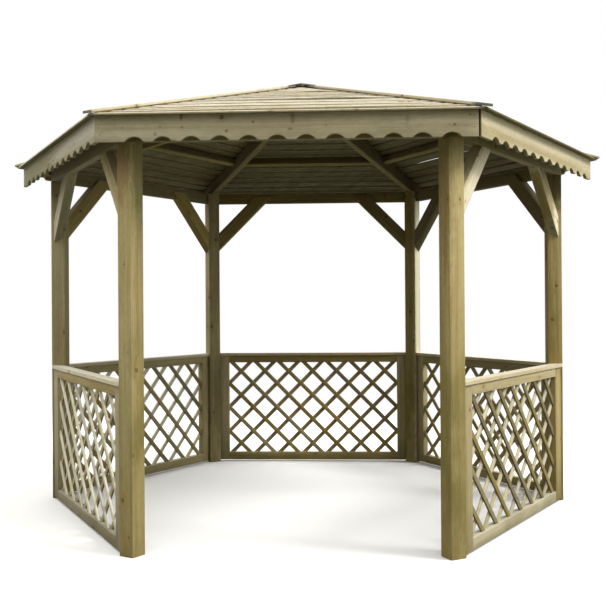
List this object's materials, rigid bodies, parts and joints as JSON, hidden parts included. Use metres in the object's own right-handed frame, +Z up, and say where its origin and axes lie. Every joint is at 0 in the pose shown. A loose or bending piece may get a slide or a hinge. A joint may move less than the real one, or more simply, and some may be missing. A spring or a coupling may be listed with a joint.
{
  "type": "hexagonal garden gazebo",
  "caption": "Open hexagonal timber garden gazebo: square posts, diagonal braces, lattice side panels with handrails, scalloped fascias and a low lapped-board roof.",
  "frame": {"origin": "on the ground at the middle of the hexagon", "axes": "+Z up, +Y from the open front side to the back panel, +X to the right seen from the front"},
  "size_m": [3.78, 3.3036, 2.664],
  "materials": {
    "post_timber": "planed pressure-treated softwood",
    "rafter_timber": "planed pressure-treated softwood",
    "beam_timber": "planed pressure-treated softwood",
    "roof_boards": "planed pressure-treated softwood",
    "fascia_timber": "planed pressure-treated softwood",
    "brace_timber": "planed pressure-treated softwood",
    "lattice_timber": "planed pressure-treated softwood",
    "handrail_timber": "planed pressure-treated softwood",
    "capping_timber": "planed pressure-treated softwood",
    "cap_timber": "planed pressure-treated softwood"
  },
  "bodies": {
    "root": {"apex_block": "rafter_timber", "apex_cap": "cap_timber", "braces_back": "brace_timber", "braces_back_left": "brace_timber", "braces_back_right": "brace_timber", "braces_front_left": "brace_timber", "braces_front_right": "brace_timber", "fascia_back": "fascia_timber", "fascia_back_left": "fascia_timber", "fascia_back_right": "fascia_timber", "fascia_front": "fascia_timber", "fascia_front_left": "fascia_timber", "fascia_front_right": "fascia_timber", "handrails": "handrail_timber", "hip_cappings": "capping_timber", "hip_rafter_back_left": "rafter_timber", "hip_rafter_back_right": "rafter_timber", "hip_rafter_front_left": "rafter_timber", "hip_rafter_front_right": "rafter_timber", "hip_rafter_left": "rafter_timber", "hip_rafter_right": "rafter_timber", "lattice_panel_back": "lattice_timber", "lattice_panel_back_left": "lattice_timber", "lattice_panel_back_right": "lattice_timber", "lattice_panel_front_left": "lattice_timber", "lattice_panel_front_right": "lattice_timber", "post_back_left": "post_timber", "post_back_right": "post_timber", "post_front_left": "post_timber", "post_front_right": "post_timber", "post_left": "post_timber", "post_right": "post_timber", "purlins": "rafter_timber", "ring_beam_back": "beam_timber", "ring_beam_back_left": "beam_timber", "ring_beam_back_right": "beam_timber", "ring_beam_front": "beam_timber", "ring_beam_front_left": "beam_timber", "ring_beam_front_right": "beam_timber", "roof_boards_back": "roof_boards", "roof_boards_back_left": "roof_boards", "roof_boards_back_right": "roof_boards", "roof_boards_front": "roof_boards", "roof_boards_front_left": "roof_boards", "roof_boards_front_right": "roof_boards"}
  },
  "joints": []
}
